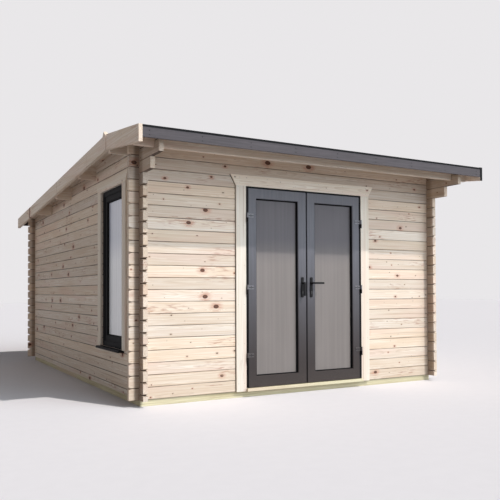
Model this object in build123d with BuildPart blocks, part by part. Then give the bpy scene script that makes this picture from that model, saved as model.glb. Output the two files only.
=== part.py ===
"""Garden office pod: a log cabin on bearers with an offset ridge, glazed double doors and a tall side window.

Millimetres. The origin is on the ground, in the middle of the walls' footprint.
X runs to the right, Y to the back and Z up. The doors face -Y.
"""

import os
from math import ceil, floor, radians, tan

from build123d import *

# Walls, measured between outer faces
wall_width = 3600
wall_depth = 4800
log_height = 112
log_thickness = 44
log_bevel = 6
log_stub = 100
tip_notch_height = 26
tip_notch_depth = 35

# Corbels: side wall rows that reach forward to carry the eave
lower_corbel_reach = 285
upper_corbel_reach = 490

# Base
bearer_height = 60
bearer_width = 60
bearer_inset = 15
joist_count = 9
floor_thickness = 28

# Roof
front_overhang = 600
rear_overhang = 180
side_overhang = 185
ridge_setback = 320
eave_height = 2419
front_pitch = 6.5
rear_pitch = 4.05
board_thickness = 19
cover_thickness = 4
fascia_thickness = 19
fascia_height = 95
barge_thickness = 34
barge_height = 147
barge_rise = 10
barge_gap = 20
ridge_nib_setback = 18
ridge_nib_height = 45
ridge_nib_length = 85
edge_trim_thickness = 3
edge_trim_drop = 14
edge_trim_width = 60

# Purlins and the beam under the front eave
purlin_thickness = 44
purlin_height = 145
purlin_spacing = 1100
purlin_count = 3

# Door opening, cut through the front wall
door_centre = 30
door_width = 1450
door_head = 2100
trim_thickness = 18
trim_width = 110
head_trim_height = 107
head_trim_flare = 60
threshold_projection = 30

# Door frame and leaves
frame_flange = 10
frame_setback = 8
frame_stop_width = 50
frame_stop_thickness = 30
leaf_gap = 6
leaf_thickness = 60
meeting_gap = 8
closing_bevel = 6
stile_width = 103
top_rail_width = 103
bottom_rail_width = 110
glass_setback = 34
glass_bite = 10
bead_bevel = 6

# Hinges, three to a leaf
hinge_heights = (391, 1068, 1785)
hinge_standoff = 14
knuckle_radius = 9
knuckle_length = 45
knuckle_gap = 1
pin_radius = 4
pin_clearance = 0.4
pin_reach = 35
flag_length = 75
flag_height = 40
flag_thickness = 4
tongue_width = 8

# Handles
handle_height = 1134
handle_offset = 52
plate_width = 30
plate_height = 210
plate_drop = 44
plate_thickness = 8
plate_corner = 10
lever_length = 125
lever_height = 20
lever_thickness = 11
lever_standoff = 34
neck_radius = 9
neck_clearance = 1
spindle_radius = 5
spindle_clearance = 1

# Window, in the left wall
window_front = 453
window_width = 715
window_sill = 480
window_head = 2110
window_frame_setback = 10
window_frame_face = 55
window_frame_depth = 60
sash_face = 62
sash_setback = 8
sash_depth = 44
window_glass_setback = 22
window_glass_thickness = 20
cill_projection = 45
cill_thickness = 22
cill_horn = 25

# Places that follow from the sizes above
side_shift = -log_height / 2
left_x = -wall_width / 2
right_x = wall_width / 2
front_y = -wall_depth / 2
back_y = wall_depth / 2
inner_left_x = left_x + log_thickness
inner_right_x = right_x - log_thickness
inner_front_y = front_y + log_thickness
inner_back_y = back_y - log_thickness
roof_half_width = wall_width / 2 + side_overhang
roof_front_y = front_y - front_overhang
roof_rear_y = back_y + rear_overhang
ridge_y = front_y + ridge_setback
ridge_height = eave_height + (ridge_y - roof_front_y) * tan(radians(front_pitch))
floor_top = bearer_height + floor_thickness
door_left_x = door_centre - door_width / 2
door_right_x = door_centre + door_width / 2
leaf_front_y = front_y - trim_thickness
leaf_back_y = leaf_front_y + leaf_thickness
leaf_bottom = floor_top + leaf_gap
leaf_height = door_head - frame_flange - leaf_gap - leaf_bottom
leaf_width = (door_width - meeting_gap) / 2 - frame_flange - leaf_gap
hinge_y = leaf_front_y - hinge_standoff
window_front_y = front_y + window_front
window_rear_y = window_front_y + window_width
window_face_x = left_x + window_frame_setback
corner_xs = (left_x + log_thickness / 2, right_x - log_thickness / 2)
front_corner_y = front_y + log_thickness / 2
back_corner_y = back_y - log_thickness / 2
side_start_y = front_y - log_stub
side_end_y = back_y + log_stub
eave_beam_y = front_y - upper_corbel_reach + log_stub + log_thickness / 2
purlin_ys = [ridge_y + purlin_spacing * (step + 1) for step in range(purlin_count)]


def roof_top(y):
    """Height of the roof boards' upper face at a distance along the slope."""
    if y < ridge_y:
        return ridge_height - (ridge_y - y) * tan(radians(front_pitch))
    return ridge_height - (y - ridge_y) * tan(radians(rear_pitch))


def roof_under(y):
    """Height of the roof boards' lower face."""
    return roof_top(y) - board_thickness


def purlin_bottom(y):
    return roof_under(y) - purlin_height


def rows_below(height, shift=0):
    """Number of rows of logs, whole and part, below a height."""
    return (height - bearer_height - shift) / log_height


# Rows of logs: how many reach the roof, and which ones meet the openings and the eave
front_log_rows = ceil(rows_below(roof_under(inner_front_y)))
back_log_rows = ceil(rows_below(roof_under(inner_back_y)))
side_log_rows = ceil(rows_below(roof_under(ridge_y), side_shift))
eave_beam_row = floor(rows_below(roof_under(eave_beam_y))) - 1
upper_corbel_row = eave_beam_row
lower_corbel_row = eave_beam_row - 1
door_wall_row = floor(rows_below(door_head))
window_lower_row = ceil(rows_below(window_sill, side_shift))
window_upper_row = floor(rows_below(window_head, side_shift))


def block(low, high, mode=Mode.ADD):
    """Box between two corners, in the part that is open."""
    size = Vector(*high) - Vector(*low)
    with Locations((Vector(*low) + Vector(*high)) / 2):
        Box(size.X, size.Y, size.Z, mode=mode)


def row_bottom(row, shift=0):
    """Height at which a row of logs starts."""
    return bearer_height + shift + row * log_height


def log_rows(plane, middle, rows, shift=0):
    """Section through a stack of logs with bevelled edges, as a sketch on the plane."""
    with BuildSketch(Plane.XY) as log:
        Rectangle(log_thickness, log_height)
        chamfer(log.vertices(), log_bevel)
    with BuildSketch(plane) as stack:
        with Locations(*[(middle, row_bottom(row, shift) + log_height / 2) for row in rows]):
            add(log.sketch)
    return stack.sketch


def make_wall_envelope():
    """Space between the bearers and the roof boards, to which every wall is trimmed."""
    with BuildPart() as envelope:
        with BuildSketch(Plane.YZ.offset(-roof_half_width)):
            Polygon(
                (roof_front_y, bearer_height),
                (roof_rear_y, bearer_height),
                (roof_rear_y, roof_under(roof_rear_y)),
                (ridge_y, roof_under(ridge_y)),
                (roof_front_y, roof_under(roof_front_y)),
                align=None,
            )
        extrude(amount=2 * roof_half_width)
    return envelope.part


wall_envelope = make_wall_envelope()


def cut_corner_notches(xs, ys, rows, shift=0):
    """Half-depth notches at the joints between rows, where crossing logs pass."""
    joints = [row_bottom(row, shift) for row in rows]
    with Locations(*[(x, y, z) for x in xs for y in ys for z in joints]):
        Box(log_thickness, log_thickness, log_height / 2, mode=Mode.SUBTRACT)


def cut_tip_notches(plane, tips, rows, roof_height, shift=0):
    """Tapered gaps between the free ends of logs. Each tip is its place and the way inward."""
    joints = [row_bottom(row, shift) for row in rows]
    half = tip_notch_height / 2
    with BuildSketch(plane) as notches:
        for tip, inward in tips:
            for z in joints:
                if z + half < roof_height:
                    Polygon((tip, z - half), (tip + inward * tip_notch_depth, z), (tip, z + half), align=None)
    extrude(notches.sketch, amount=log_thickness, mode=Mode.SUBTRACT)


def finish(builder, label):
    """Names a piece and writes it to its own file."""
    builder.part.label = label
    export_step(builder.part, f"parts/{label}.step")


# Base

def make_end_bearers():
    with BuildPart() as bearers:
        for y in (front_y + bearer_inset, back_y - bearer_inset - bearer_width):
            low = (left_x + bearer_inset, y, 0)
            block(low, (right_x - bearer_inset, y + bearer_width, bearer_height))
    finish(bearers, "end_bearers")


def make_side_bearers():
    inset = bearer_inset + bearer_width
    with BuildPart() as bearers:
        for x in (left_x + bearer_inset, right_x - inset):
            block((x, front_y + inset, 0), (x + bearer_width, back_y - inset, bearer_height))
    finish(bearers, "side_bearers")


def make_floor_joists():
    inset = bearer_inset + bearer_width
    spacing = (wall_depth - 2 * inset) / (joist_count + 1)
    with BuildPart() as joists:
        with GridLocations(0, spacing, 1, joist_count):
            with Locations((0, 0, bearer_height / 2)):
                Box(wall_width - 2 * inset, bearer_width, bearer_height)
    finish(joists, "floor_joists")


def make_floor():
    with BuildPart() as floor:
        block((inner_left_x, inner_front_y, bearer_height), (inner_right_x, inner_back_y, floor_top))
    finish(floor, "floor")


# Front wall: rows of logs beside the doors, and full rows over them

cross_tips = ((left_x - log_stub, 1), (right_x + log_stub, -1))


def cut_front_tips(rows):
    cut_tip_notches(Plane.XZ.offset(-inner_front_y), cross_tips, rows, roof_under(front_y))


def make_front_wall_side(label, start_x, end_x):
    with BuildPart() as wall:
        rows = range(0, door_wall_row)
        section = log_rows(Plane.YZ.offset(start_x), front_corner_y, rows)
        extrude(section, amount=end_x - start_x)
        corners = [x for x in corner_xs if start_x < x < end_x]
        cut_corner_notches(corners, [front_corner_y], range(0, door_wall_row + 1))
        cut_front_tips(range(1, door_wall_row + 1))
        add(wall_envelope, mode=Mode.INTERSECT)
    finish(wall, label)


def make_front_wall_top():
    start_x = left_x - log_stub
    with BuildPart() as wall:
        rows = range(door_wall_row, front_log_rows)
        section = log_rows(Plane.YZ.offset(start_x), front_corner_y, rows)
        extrude(section, amount=wall_width + 2 * log_stub)
        cut_corner_notches(corner_xs, [front_corner_y], rows)
        cut_front_tips(rows)
        bottom = row_bottom(door_wall_row)
        block((door_left_x, front_y, bottom), (door_right_x, inner_front_y, door_head), Mode.SUBTRACT)
        add(wall_envelope, mode=Mode.INTERSECT)
    finish(wall, "front_wall_top")


# Side and back walls

def extrude_side_rows(middle_x, rows, start_y, end_y):
    """Side wall logs between two places along Y, in the part that is open."""
    section = log_rows(Plane.XZ.offset(-end_y), middle_x, rows, side_shift)
    extrude(section, amount=end_y - start_y)


def cut_side_notches(middle_x, rows):
    """Notches at both corners, and tapered gaps at the free ends below the corbels."""
    cut_corner_notches([middle_x], [front_corner_y, back_corner_y], rows, side_shift)
    plane = Plane.YZ.offset(middle_x - log_thickness / 2)
    front_rows = [row for row in rows if 0 < row < lower_corbel_row]
    back_rows = [row for row in rows if row > 0]
    if front_rows:
        cut_tip_notches(plane, [(side_start_y, 1)], front_rows, roof_under(front_y), side_shift)
    cut_tip_notches(plane, [(side_end_y, -1)], back_rows, roof_under(side_end_y), side_shift)


def add_corbels_and_seats(middle_x):
    """Top rows reach forward in steps, and are notched for the eave beam and the purlins."""
    tip_rows = range(upper_corbel_row, side_log_rows)
    extrude_side_rows(middle_x, tip_rows, front_y - upper_corbel_reach, front_y - log_stub)
    extrude_side_rows(middle_x, [lower_corbel_row], front_y - lower_corbel_reach, front_y - log_stub)
    seat = row_bottom(eave_beam_row) + log_height / 4
    half = log_thickness / 2
    for y, bottom in [(eave_beam_y, seat)] + [(y, purlin_bottom(y)) for y in (ridge_y, *purlin_ys)]:
        low = (middle_x - half, y - purlin_thickness / 2, bottom)
        block(low, (middle_x + half, y + purlin_thickness / 2, ridge_height), Mode.SUBTRACT)


def make_left_wall_lower():
    middle_x = corner_xs[0]
    with BuildPart() as wall:
        rows = range(0, window_lower_row)
        extrude_side_rows(middle_x, rows, side_start_y, side_end_y)
        cut_side_notches(middle_x, range(0, window_lower_row + 1))
        top = row_bottom(window_lower_row, side_shift)
        low = (left_x, window_front_y, window_sill)
        block(low, (inner_left_x, window_rear_y, top), Mode.SUBTRACT)
        add(wall_envelope, mode=Mode.INTERSECT)
    finish(wall, "left_wall_lower")


def make_left_wall_pier(label, start_y, end_y):
    middle_x = corner_xs[0]
    with BuildPart() as pier:
        rows = range(window_lower_row, window_upper_row)
        extrude_side_rows(middle_x, rows, start_y, end_y)
        cut_side_notches(middle_x, range(window_lower_row, window_upper_row + 1))
    finish(pier, label)


def make_left_wall_top():
    middle_x = corner_xs[0]
    with BuildPart() as wall:
        rows = range(window_upper_row, side_log_rows)
        extrude_side_rows(middle_x, rows, side_start_y, side_end_y)
        add_corbels_and_seats(middle_x)
        cut_side_notches(middle_x, rows)
        low = (left_x, window_front_y, row_bottom(window_upper_row, side_shift))
        block(low, (inner_left_x, window_rear_y, window_head), Mode.SUBTRACT)
        add(wall_envelope, mode=Mode.INTERSECT)
    finish(wall, "left_wall_top")


def make_right_wall():
    middle_x = corner_xs[1]
    with BuildPart() as wall:
        rows = range(0, side_log_rows)
        extrude_side_rows(middle_x, rows, side_start_y, side_end_y)
        add_corbels_and_seats(middle_x)
        cut_side_notches(middle_x, rows)
        add(wall_envelope, mode=Mode.INTERSECT)
    finish(wall, "right_wall")


def make_back_wall():
    start_x = left_x - log_stub
    with BuildPart() as wall:
        rows = range(0, back_log_rows)
        section = log_rows(Plane.YZ.offset(start_x), back_corner_y, rows)
        extrude(section, amount=wall_width + 2 * log_stub)
        cut_corner_notches(corner_xs, [back_corner_y], rows)
        cut_tip_notches(Plane.XZ.offset(-back_y), cross_tips, rows[1:], roof_under(back_y))
        add(wall_envelope, mode=Mode.INTERSECT)
    finish(wall, "back_wall")


# Beam and purlins, planed to the slope of the roof boards

def make_eave_beam():
    bottom = row_bottom(eave_beam_row)
    with BuildPart() as beam:
        with BuildSketch(Plane.YZ.offset(-roof_half_width)) as section:
            with Locations((eave_beam_y, bottom + log_height)):
                Rectangle(log_thickness, 2 * log_height)
            chamfer(section.vertices().group_by(Axis.Y)[0], log_bevel)
        extrude(amount=2 * roof_half_width)
        with Locations(*[(x, eave_beam_y, bottom) for x in corner_xs]):
            Box(log_thickness, log_thickness, log_height / 2, mode=Mode.SUBTRACT)
        add(wall_envelope, mode=Mode.INTERSECT)
    finish(beam, "eave_beam")


def make_purlins(label, ys):
    half = purlin_thickness / 2
    with BuildPart() as purlins:
        for y in ys:
            low = (-roof_half_width, y - half, purlin_bottom(y))
            block(low, (roof_half_width, y + half, ridge_height))
        add(wall_envelope, mode=Mode.INTERSECT)
    finish(purlins, label)


# Roof

def extrude_across(points, half_width=roof_half_width):
    """Closed outline in the YZ plane, drawn out from one gable to the other."""
    with BuildSketch(Plane.YZ.offset(-half_width)) as outline:
        Polygon(*points, align=None)
    extrude(outline.sketch, amount=2 * half_width)


def slope_band(start_y, end_y, top, depth):
    """Four corners of a sloping board cut plumb at both ends."""
    start_top = roof_top(start_y) + top
    end_top = roof_top(end_y) + top
    corners = [(start_y, start_top), (end_y, end_top)]
    return corners + [(end_y, end_top - depth), (start_y, start_top - depth)]


def make_roof_boards():
    with BuildPart() as front:
        extrude_across(slope_band(roof_front_y + fascia_thickness, ridge_y, 0, board_thickness))
    finish(front, "front_roof_boards")
    with BuildPart() as rear:
        extrude_across(slope_band(ridge_y, roof_rear_y - fascia_thickness, 0, board_thickness))
    finish(rear, "rear_roof_boards")


def make_roof_cover():
    with BuildPart() as cover:
        for start_y, end_y in ((roof_front_y, ridge_y), (ridge_y, roof_rear_y)):
            extrude_across(slope_band(start_y, end_y, cover_thickness, cover_thickness))
    finish(cover, "roof_cover")


def make_fascia(label, outer_y, inward):
    inner_y = outer_y + inward * fascia_thickness
    bottom = roof_top(outer_y) - fascia_height
    with BuildPart() as fascia:
        extrude_across(
            [
                (outer_y, roof_top(outer_y)),
                (inner_y, roof_top(inner_y)),
                (inner_y, bottom),
                (outer_y, bottom),
            ]
        )
    finish(fascia, label)


def make_edge_trim(label, outer_y, inward):
    """Angle that laps the edge of the roof cover and drips in front of the fascia."""
    face_y = outer_y - inward * edge_trim_thickness
    lap_y = outer_y + inward * edge_trim_width
    seat = roof_top(outer_y) + cover_thickness
    lap_seat = roof_top(lap_y) + cover_thickness
    with BuildPart() as trim:
        extrude_across(
            [
                (face_y, seat + edge_trim_thickness),
                (lap_y, lap_seat + edge_trim_thickness),
                (lap_y, lap_seat),
                (outer_y, seat),
                (outer_y, seat - edge_trim_drop),
                (face_y, seat - edge_trim_drop),
            ]
        )
    finish(trim, label)


def ridge_nib():
    """Small peak on a rear barge board's upper edge, next to the joint at the ridge."""
    start_y = ridge_y + ridge_nib_setback
    points = []
    for y, rise in ((start_y, 0), (start_y + ridge_nib_length / 2, ridge_nib_height), (start_y + ridge_nib_length, 0)):
        points.append((y, roof_top(y) + barge_rise + rise))
    return points


def make_barge_boards(label, start_y, end_y, peak=()):
    outer_x = roof_half_width + barge_thickness
    first, *others = slope_band(start_y, end_y, barge_rise, barge_height)
    with BuildPart() as boards:
        extrude_across([first, *peak, *others], outer_x)
        inner = boards.part.bounding_box()
        low = (-roof_half_width, start_y, inner.min.Z)
        block(low, (roof_half_width, end_y, inner.max.Z), Mode.SUBTRACT)
    finish(boards, label)


# Door frame, threshold and trims

def frame_ring(back, outer_inset, face_width):
    """Two jambs and a head, standing on the threshold, as a sketch whose plane is the frame's back."""
    with BuildSketch(Plane.XZ.offset(-back)) as ring:
        outer_half = door_width / 2 - outer_inset
        inner_half = outer_half - face_width
        head = door_head - outer_inset
        with Locations((door_centre, (floor_top + head) / 2)):
            Rectangle(2 * outer_half, head - floor_top)
        with Locations((door_centre, (floor_top + head - face_width) / 2)):
            Rectangle(2 * inner_half, head - face_width - floor_top, mode=Mode.SUBTRACT)
    return ring.sketch


def make_door_frame():
    frame_back_y = leaf_back_y + leaf_gap + frame_stop_thickness
    flange_depth = frame_back_y - leaf_front_y - frame_setback
    with BuildPart() as frame:
        extrude(frame_ring(frame_back_y, 0, frame_flange), amount=flange_depth)
        extrude(frame_ring(frame_back_y, frame_flange, frame_stop_width), amount=frame_stop_thickness)
    finish(frame, "door_frame")


def make_door_threshold():
    outer_y = leaf_front_y - threshold_projection
    with BuildPart() as threshold:
        block((door_left_x, outer_y, bearer_height), (door_right_x, inner_front_y, floor_top))
        nose = threshold.edges().filter_by(Axis.X).group_by(Axis.Y)[0].sort_by(Axis.Z)[-1]
        fillet(nose, log_bevel)
    finish(threshold, "door_threshold")


def make_door_side_trims():
    with BuildPart() as trims:
        for x in (door_left_x - trim_width, door_right_x):
            block((x, leaf_front_y, bearer_height), (x + trim_width, front_y, door_head))
    finish(trims, "door_side_trims")


def flared_board(plane, middle, bottom, half_length):
    """Head board whose ends slope outward, as a sketch on the plane."""
    top = bottom + head_trim_height
    with BuildSketch(plane) as board:
        Polygon(
            (middle - half_length, bottom),
            (middle + half_length, bottom),
            (middle + half_length + head_trim_flare, top),
            (middle - half_length - head_trim_flare, top),
            align=None,
        )
    return board.sketch


def make_door_head_trim():
    half_length = door_width / 2 + trim_width
    with BuildPart() as trim:
        board = flared_board(Plane.XZ.offset(-front_y), door_centre, door_head, half_length)
        extrude(board, amount=trim_thickness)
    finish(trim, "door_head_trim")


# Doors: side is -1 for the left leaf and 1 for the right

def door_x(side, inset):
    """Place at an inset from the opening's edge on the hinge side of a leaf."""
    return door_centre + side * (door_width / 2 - inset)


def knuckle(x, bottom, radius):
    """Upright cylinder on a hinge axis."""
    with Locations((x, hinge_y, bottom)):
        Cylinder(radius, knuckle_length, align=(Align.CENTER, Align.CENTER, Align.MIN))


def make_hinge_pins():
    """Lower knuckles on tongues from the frame, each with a pin that carries a leaf."""
    tongue_y = leaf_front_y + frame_setback
    with BuildPart() as hinges:
        for side in (-1, 1):
            x = door_x(side, frame_flange)
            for height in hinge_heights:
                knuckle(x, height - knuckle_length, knuckle_radius)
                with Locations((x, hinge_y, height)):
                    Cylinder(pin_radius, pin_reach, align=(Align.CENTER, Align.CENTER, Align.MIN))
                edges = sorted((x, door_x(side, frame_flange - tongue_width)))
                low = (edges[0], hinge_y, height - knuckle_length)
                block(low, (edges[1], tongue_y, height))
    finish(hinges, "hinge_pins")


def make_leaf(side, name):
    outer_x = door_x(side, frame_flange + leaf_gap)
    meeting_x = outer_x - side * leaf_width
    leaf_top = leaf_bottom + leaf_height
    glass_xs = sorted((outer_x - side * stile_width, meeting_x + side * stile_width))
    glass_low = leaf_bottom + bottom_rail_width
    glass_high = leaf_top - top_rail_width
    with BuildPart() as leaf:
        with BuildSketch(Plane.XY.offset(leaf_bottom)):
            Polygon(
                (outer_x, leaf_front_y),
                (meeting_x, leaf_front_y),
                (meeting_x + side * closing_bevel, leaf_back_y),
                (outer_x, leaf_back_y),
                align=None,
            )
        extrude(amount=leaf_height)
        low = (glass_xs[0], leaf_front_y, glass_low)
        block(low, (glass_xs[1], leaf_back_y, glass_high), Mode.SUBTRACT)
        face = leaf.faces().filter_by(Plane.XZ).sort_by(Axis.Y)[0]
        chamfer(face.inner_wires()[0].edges(), bead_bevel)
        low = (glass_xs[0] - glass_bite, leaf_front_y + glass_setback, glass_low - glass_bite)
        high = (glass_xs[1] + glass_bite, leaf_back_y, glass_high + glass_bite)
        block(low, high, Mode.SUBTRACT)
        with BuildSketch(Plane.XZ.offset(-leaf_back_y)):
            with Locations((meeting_x + side * handle_offset, handle_height)):
                Circle(spindle_radius + spindle_clearance)
        extrude(amount=leaf_thickness, mode=Mode.SUBTRACT)
    finish(leaf, f"{name}_leaf")

    with BuildPart() as glass:
        block(low, high)
    finish(glass, f"{name}_glass")


def make_hinge_flags(side, name):
    """Upper knuckles with a flag that lies on the leaf's outer stile."""
    x = door_x(side, frame_flange)
    with BuildPart() as flags:
        for height in hinge_heights:
            bottom = height + knuckle_gap
            knuckle(x, bottom, knuckle_radius)
            ends = sorted((x, x - side * flag_length))
            top = bottom + flag_height
            block((ends[0], leaf_front_y - flag_thickness, bottom), (ends[1], leaf_front_y, top))
            web = sorted((x, x - side * knuckle_radius))
            block((web[0], hinge_y, bottom), (web[1], leaf_front_y - flag_thickness, top))
            with Locations((x, hinge_y, bottom)):
                Cylinder(
                    pin_radius + pin_clearance,
                    pin_reach,
                    align=(Align.CENTER, Align.CENTER, Align.MIN),
                    mode=Mode.SUBTRACT,
                )
    finish(flags, f"{name}_hinge_flags")


def make_handle(side, name, turn):
    """Back plates on both faces, and a pair of levers on one spindle."""
    x = door_x(side, frame_flange + leaf_gap + leaf_width) + side * handle_offset
    outer_y = leaf_front_y - plate_thickness
    inner_y = leaf_back_y + plate_thickness
    with BuildPart() as plates:
        for start_y in (leaf_front_y, inner_y):
            with BuildSketch(Plane.XZ.offset(-start_y)):
                with Locations((x, handle_height - plate_drop)):
                    RectangleRounded(plate_width, plate_height, plate_corner)
                with Locations((x, handle_height)):
                    Circle(spindle_radius + spindle_clearance, mode=Mode.SUBTRACT)
            extrude(amount=plate_thickness)
    finish(plates, f"{name}_handle_plates")

    lever_y = outer_y - lever_standoff
    inner_lever_y = inner_y + lever_standoff
    reach = lever_length / 2
    centre = (x + side * reach, handle_height) if turn == 0 else (x, handle_height - reach)
    with BuildPart() as lever:
        for start_y in (lever_y, inner_lever_y + lever_thickness):
            with BuildSketch(Plane.XZ.offset(-start_y)):
                with Locations(centre):
                    SlotCenterToCenter(lever_length, lever_height, rotation=turn)
            extrude(amount=lever_thickness)
        for start_y in (outer_y - neck_clearance, inner_lever_y):
            with BuildSketch(Plane.XZ.offset(-start_y)):
                with Locations((x, handle_height)):
                    Circle(neck_radius)
            extrude(amount=lever_standoff - neck_clearance)
        with BuildSketch(Plane.XZ.offset(-inner_lever_y)):
            with Locations((x, handle_height)):
                Circle(spindle_radius)
        extrude(amount=inner_lever_y - lever_y)
    finish(lever, f"{name}_lever")


# Window in the left wall

def window_ring(plane, inset, face_width):
    """Rectangular ring around the window's centre, as a sketch on the plane."""
    with BuildSketch(plane) as ring:
        with Locations((window_front_y + window_width / 2, (window_sill + window_head) / 2)):
            width = window_width - 2 * inset
            height = window_head - window_sill - 2 * inset
            Rectangle(width, height)
            Rectangle(width - 2 * face_width, height - 2 * face_width, mode=Mode.SUBTRACT)
    return ring.sketch


def make_window():
    sash_x = window_face_x + sash_setback
    with BuildPart() as frame:
        extrude(window_ring(Plane.YZ.offset(window_face_x), 0, window_frame_face), amount=window_frame_depth)
    finish(frame, "window_frame")

    with BuildPart() as sash:
        extrude(window_ring(Plane.YZ.offset(sash_x), window_frame_face, sash_face), amount=sash_depth)
        face = sash.faces().filter_by(Plane.YZ).sort_by(Axis.X)[0]
        chamfer(face.inner_wires()[0].edges(), bead_bevel)
    finish(sash, "window_sash")

    inset = window_frame_face + sash_face
    glass_x = sash_x + window_glass_setback
    with BuildPart() as glass:
        low = (glass_x, window_front_y + inset, window_sill + inset)
        high = (glass_x + window_glass_thickness, window_rear_y - inset, window_head - inset)
        block(low, high)
    finish(glass, "window_glass")


def make_window_cill():
    outer_x = left_x - trim_thickness - cill_projection
    with BuildPart() as cill:
        low = (outer_x, window_front_y - cill_horn, window_sill - cill_thickness)
        block(low, (left_x, window_rear_y + cill_horn, window_sill))
        nose = cill.edges().filter_by(Axis.Y).group_by(Axis.X)[0].sort_by(Axis.Z)[-1]
        chamfer(nose, log_bevel)
    finish(cill, "window_cill")


def make_window_trims():
    outer_x = left_x - trim_thickness
    with BuildPart() as sides:
        for y in (window_front_y - trim_width, window_rear_y):
            block((outer_x, y, window_sill), (left_x, y + trim_width, window_head))
    finish(sides, "window_side_trims")

    middle = window_front_y + window_width / 2
    half_length = window_width / 2 + trim_width
    with BuildPart() as head:
        board = flared_board(Plane.YZ.offset(outer_x), middle, window_head, half_length)
        extrude(board, amount=trim_thickness)
    finish(head, "window_head_trim")


def build_all():
    os.makedirs("parts", exist_ok=True)
    make_end_bearers()
    make_side_bearers()
    make_floor_joists()
    make_floor()
    make_front_wall_side("front_wall_left", left_x - log_stub, door_left_x)
    make_front_wall_side("front_wall_right", door_right_x, right_x + log_stub)
    make_front_wall_top()
    make_left_wall_lower()
    make_left_wall_pier("left_wall_front_pier", side_start_y, window_front_y)
    make_left_wall_pier("left_wall_rear_pier", window_rear_y, side_end_y)
    make_left_wall_top()
    make_right_wall()
    make_back_wall()
    make_eave_beam()
    make_purlins("ridge_purlin", [ridge_y])
    make_purlins("purlins", purlin_ys)
    make_roof_boards()
    make_roof_cover()
    make_fascia("front_fascia", roof_front_y, 1)
    make_fascia("rear_fascia", roof_rear_y, -1)
    make_edge_trim("front_edge_trim", roof_front_y, 1)
    make_edge_trim("rear_edge_trim", roof_rear_y, -1)
    make_barge_boards("front_barge_boards", roof_front_y, ridge_y - barge_gap)
    make_barge_boards("rear_barge_boards", ridge_y, roof_rear_y, ridge_nib())
    make_door_frame()
    make_door_threshold()
    make_door_side_trims()
    make_door_head_trim()
    make_hinge_pins()
    for side, name, turn in ((-1, "left", 90), (1, "right", 0)):
        make_leaf(side, name)
        make_hinge_flags(side, name)
        make_handle(side, name, turn)
    make_window()
    make_window_cill()
    make_window_trims()


build_all()
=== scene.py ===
"""Looks of the garden office pod: materials, light, camera and the small pieces that ride on its frame.

Lengths are in metres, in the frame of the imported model: the doors face -Y and the ground is at Z 0.
"""

import math

import bmesh
import bpy
from mathutils import Matrix, Vector


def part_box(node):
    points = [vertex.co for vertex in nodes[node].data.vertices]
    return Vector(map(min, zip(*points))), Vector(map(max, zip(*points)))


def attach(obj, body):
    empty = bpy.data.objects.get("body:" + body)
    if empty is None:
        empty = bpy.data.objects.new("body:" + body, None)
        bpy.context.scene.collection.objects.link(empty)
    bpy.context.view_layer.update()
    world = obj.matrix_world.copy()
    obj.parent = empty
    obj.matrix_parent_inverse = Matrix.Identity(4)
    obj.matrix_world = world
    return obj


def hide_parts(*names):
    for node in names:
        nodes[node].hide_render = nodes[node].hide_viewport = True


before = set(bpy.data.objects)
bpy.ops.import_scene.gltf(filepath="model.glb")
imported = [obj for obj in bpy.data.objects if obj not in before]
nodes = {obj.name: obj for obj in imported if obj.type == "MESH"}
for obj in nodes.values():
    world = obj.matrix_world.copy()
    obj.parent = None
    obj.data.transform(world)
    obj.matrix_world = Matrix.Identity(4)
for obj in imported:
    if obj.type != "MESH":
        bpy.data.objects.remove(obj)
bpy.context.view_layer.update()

AXES = {"x": 0, "y": 1, "z": 2}


# Sizes of the part, which the materials and pieces below are fitted to. LOG is the height of a row, and
# the rows of the side walls lie half a row lower than those of the front and the back.

LOG, LOG_THICKNESS = 0.112, 0.044
BASE = 0.060
SIDE_BASE = BASE - LOG / 2
WALL_X, WALL_Y = 1.800, 2.400
PITH_X, PITH_Y = WALL_X - LOG_THICKNESS / 2, WALL_Y - LOG_THICKNESS / 2
RIDGE_Y = -2.080
FRONT_PITCH, REAR_PITCH = math.radians(6.5), math.radians(4.05)
RIDGE_Z = 2.419 + 0.920 * math.tan(FRONT_PITCH)
FRONT_Y, REAR_Y = -3.000, 2.580
HALF_ROOF = 1.985
BARGE = 0.034
FASCIA = 0.019
BOARD = 0.019
ROOF_BOARDS, ROOF_BOARD_PITCH = 35, 0.1134286
FLOOR_BOARDS, FLOOR_BOARD_PITCH, FLOOR_START = 31, 0.1132903, -1.756
DOORS_X = 0.030
HINGE_EDGE = 0.725 - 0.010
HINGE_HEIGHTS = (0.391, 1.068, 1.785)
LOCK_Z = 1.040


# Colours, linear

SPRUCE_PALE = (0.88, 0.780, 0.680)
SPRUCE_WARM = (0.75, 0.600, 0.462)
SPRUCE_RING = (0.50, 0.345, 0.235)
TRIM_PALE = (0.90, 0.830, 0.735)
TRIM_WARM = (0.82, 0.715, 0.590)
TREATED_PALE = (0.76, 0.690, 0.480)
TREATED_WARM = (0.60, 0.530, 0.340)
TREATED_RING = (0.36, 0.270, 0.130)
BLUSH = (0.80, 0.600, 0.500)
RESIN = (0.43, 0.185, 0.115)
KNOT_STAIN = (0.48, 0.130, 0.060)
KNOT_CORE = (0.105, 0.036, 0.022)
KNOT_RIM = (0.030, 0.014, 0.010)
JOINT = (0.085, 0.052, 0.036)
# Painted shade on the log ends near the corners
CORNER_SHADE = (0.26, 0.205, 0.165)
DUST = (0.24, 0.205, 0.175)
FELT_DARK = (0.028, 0.030, 0.033)
FELT_PALE = (0.105, 0.108, 0.112)
FELT_WORN = (0.13, 0.13, 0.125)
DOOR_GLASS = (0.268, 0.236, 0.222)
# Near white: paints the reflection of the pale surroundings into the window pane.
WINDOW_GLASS_AND_REFLECTION = (0.965, 0.97, 1.0)
# Tint of the painted shade on the tops of the panes
GLASS_TOP_SHADE = (0.62, 0.64, 0.73)
FLOOR_LOW = (0.803, 0.775, 0.795)
FLOOR_HIGH = (0.813, 0.785, 0.805)
FLOOR_BOUNCE = (0.36, 0.36, 0.37)
SKY_LIGHT = (0.128, 0.129, 0.135)
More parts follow.
